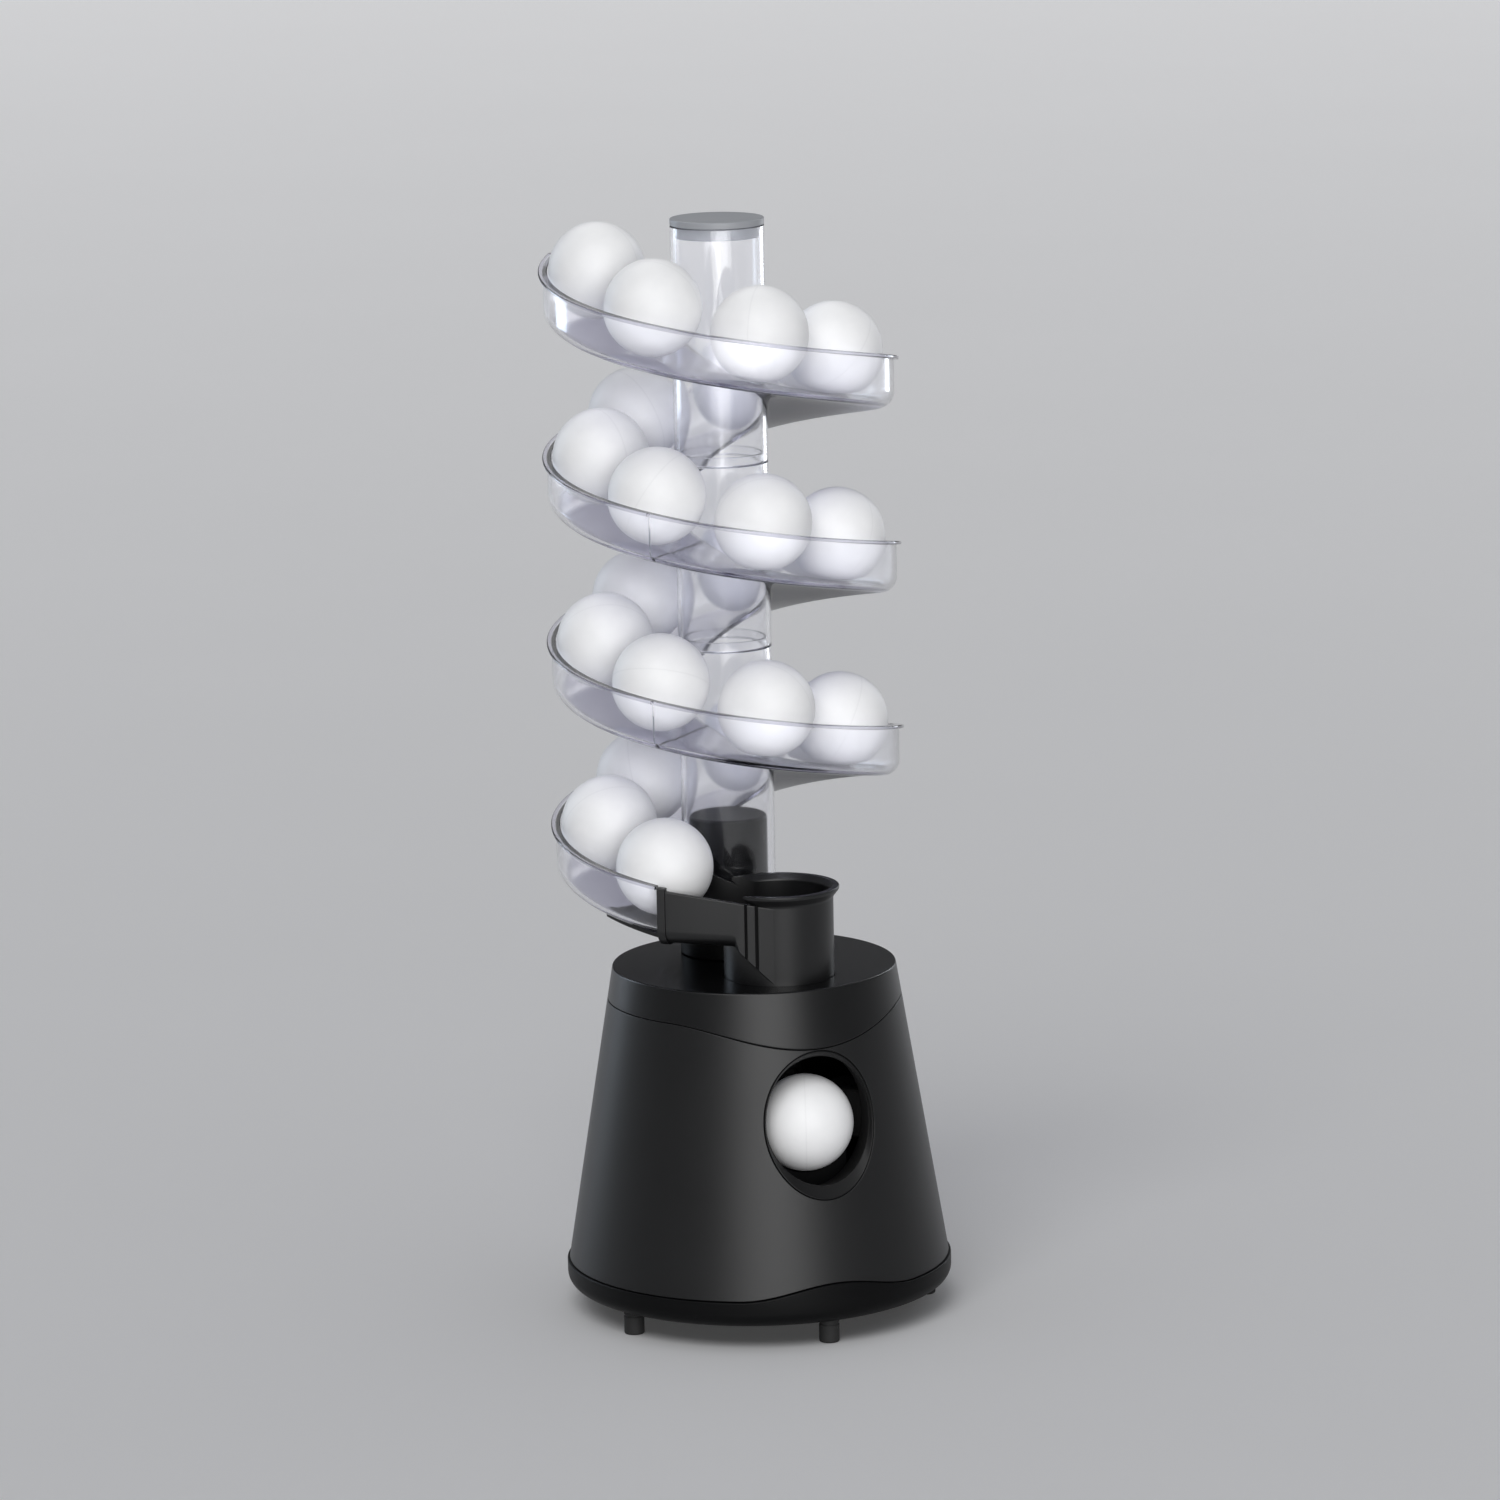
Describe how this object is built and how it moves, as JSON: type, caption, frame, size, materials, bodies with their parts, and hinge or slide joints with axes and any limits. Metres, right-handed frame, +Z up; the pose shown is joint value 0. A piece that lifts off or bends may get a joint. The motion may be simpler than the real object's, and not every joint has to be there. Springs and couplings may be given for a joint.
{
  "type": "table tennis robot",
  "caption": "Motor base with an oval ball mouth, a feed cup on its lid and a clear spiral ball track round a central tube.",
  "frame": {"origin": "on the floor under the middle of the footprint box, at the bottoms of the feet", "axes": "+Z up along the tower, -Y out of the mouth, +X to the right as seen from in front of the mouth"},
  "size_m": [0.1604, 0.178, 0.4533],
  "materials": {
    "black_plastic": "semi-gloss black ABS",
    "gloss_black": "polished black ABS",
    "clear_plastic": "clear polycarbonate with a faint blue-violet tint",
    "grey_plastic": "grey satin",
    "ball": "matte white celluloid-like plastic",
    "black_rubber": "matt black rubber",
    "motor_steel": "zinc-plated steel",
    "white_nylon": "natural nylon",
    "board_green": "solder-masked laminate",
    "cell_wrap": "plain cell sleeve"
  },
  "bodies": {
    "base": {"casing": "black_plastic", "lid": "gloss_black", "base_tray": "black_plastic", "mouth_bezel": "black_plastic", "motor_deck": "black_plastic", "feed_motor": "motor_steel", "circuit_board": "board_green", "foot_1": "black_rubber", "foot_2": "black_rubber", "foot_3": "black_rubber", "foot_4": "black_rubber", "foot_5": "black_rubber", "battery_1": "cell_wrap", "battery_2": "cell_wrap", "battery_3": "cell_wrap", "battery_4": "cell_wrap", "throw_motor_left": "motor_steel", "throw_motor_right": "motor_steel", "feed_chute": "black_plastic", "tower_post": "black_plastic"},
    "battery_door": {"battery_door": "black_plastic"},
    "throw_wheel_left": {"throw_hub_left": "white_nylon", "throw_tyre_left": "black_rubber"},
    "throw_wheel_right": {"throw_hub_right": "white_nylon", "throw_tyre_right": "black_rubber"},
    "feed_wheel": {"feed_star": "white_nylon", "feed_shaft": "motor_steel", "feed_gear": "white_nylon"},
    "feed_pinion": {"feed_pinion": "white_nylon"},
    "speed_knob": {"speed_knob": "black_plastic"},
    "power_switch": {"power_switch": "gloss_black"},
    "served_ball": {"ball_served": "ball"},
    "tower_lower": {"track_lower": "clear_plastic", "ball_17": "ball", "ball_18": "ball", "ball_19": "ball", "ball_20": "ball", "ball_21": "ball", "ball_22": "ball", "ball_23": "ball"},
    "tower_middle": {"track_middle": "clear_plastic", "ball_10": "ball", "ball_11": "ball", "ball_12": "ball", "ball_13": "ball", "ball_14": "ball", "ball_15": "ball", "ball_16": "ball"},
    "tower_top": {"track_top": "clear_plastic", "ball_01": "ball", "ball_02": "ball", "ball_03": "ball", "ball_04": "ball", "ball_05": "ball", "ball_06": "ball", "ball_07": "ball", "ball_08": "ball", "ball_09": "ball"},
    "tube_cap": {"tube_cap": "grey_plastic"}
  },
  "joints": [
    {"name": "throw_left_spin", "type": "hinge", "parent": "base", "child": "throw_wheel_left", "pos_m": [-0.03347, -0.04365, 0.088], "axis": [0, 0, 1], "continuous": true},
    {"name": "throw_right_spin", "type": "hinge", "parent": "base", "child": "throw_wheel_right", "pos_m": [0.03347, -0.04365, 0.088], "axis": [0, 0, 1], "continuous": true},
    {"name": "feed_spin", "type": "hinge", "parent": "base", "child": "feed_wheel", "pos_m": [0, -0.00475, 0.112], "axis": [1, 0, 0], "continuous": true},
    {"name": "pinion_spin", "type": "hinge", "parent": "base", "child": "feed_pinion", "pos_m": [0.0115, 0.01925, 0.112], "axis": [1, 0, 0], "continuous": true},
    {"name": "speed_knob_turn", "type": "hinge", "parent": "base", "child": "speed_knob", "pos_m": [-0.014, 0.06765, 0.06], "axis": [0, -1, 0], "range_deg": [0, 270]},
    {"name": "power_switch_rock", "type": "hinge", "parent": "base", "child": "power_switch", "pos_m": [0.014, 0.06563, 0.06], "axis": [1, 0, 0], "range_deg": [0, 16]},
    {"name": "battery_door_hinge", "type": "hinge", "parent": "base", "child": "battery_door", "pos_m": [0, 0.03256, 0.012], "axis": [1, 0, 0], "range_deg": [0, 90]},
    {"name": "served_ball_slide", "type": "slide", "parent": "base", "child": "served_ball", "axis": [0, -1, 0], "range_m": [0, 0.09]},
    {"name": "tower_lower_lift", "type": "slide", "parent": "base", "child": "tower_lower", "axis": [0, 0, 1], "range_m": [0, 0.045]},
    {"name": "tower_middle_lift", "type": "slide", "parent": "tower_lower", "child": "tower_middle", "axis": [0, 0, 1], "range_m": [0, 0.012]},
    {"name": "tower_top_lift", "type": "slide", "parent": "tower_middle", "child": "tower_top", "axis": [0, 0, 1], "range_m": [0, 0.012]},
    {"name": "tube_cap_lift", "type": "slide", "parent": "tower_top", "child": "tube_cap", "axis": [0, 0, 1], "range_m": [0, 0.007]}
  ],
  "couplings": [
    {"joint": "pinion_spin", "follows": "feed_spin", "ratio": -3}
  ]
}
